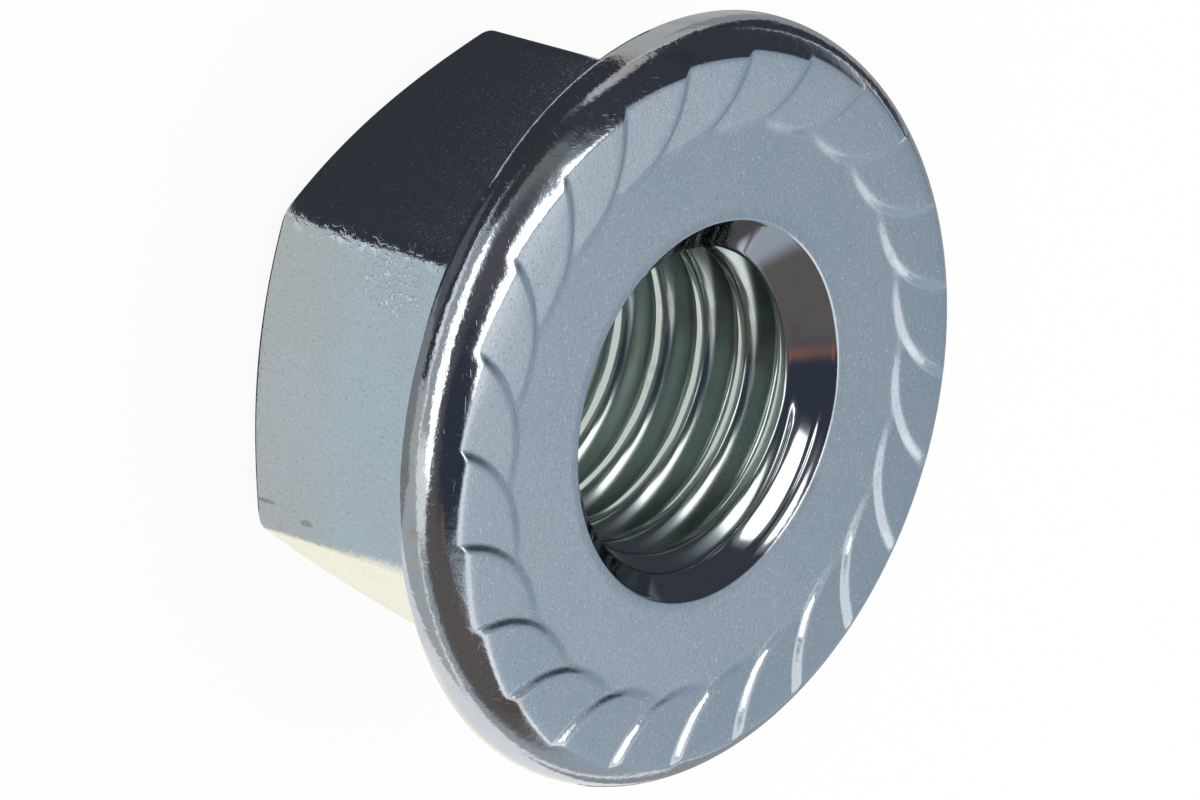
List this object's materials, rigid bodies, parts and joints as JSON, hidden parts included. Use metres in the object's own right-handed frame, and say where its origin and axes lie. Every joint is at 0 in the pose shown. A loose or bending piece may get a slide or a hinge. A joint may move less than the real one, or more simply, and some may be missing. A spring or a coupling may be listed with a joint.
{
  "type": "serrated hexagon flange nut",
  "caption": "Zinc-plated steel hexagon nut with an integral round flange, a countersunk right-hand threaded bore and curved locking serrations stamped round its bearing face.",
  "frame": {"origin": "middle of the plain end of the hexagon, on the thread axis, where the nut stands", "axes": "+Z along the thread axis, out of the serrated bearing face; +X through a corner of the hexagon; -Y out of a flat"},
  "size_m": [0.0212, 0.0212, 0.01],
  "materials": {
    "zinc_plated_steel": "bright zinc plate with a blue passivated tint, satin on the stamped face and glossy on the rim and thread"
  },
  "bodies": {
    "root": {"flange_nut": "zinc_plated_steel"}
  },
  "joints": []
}
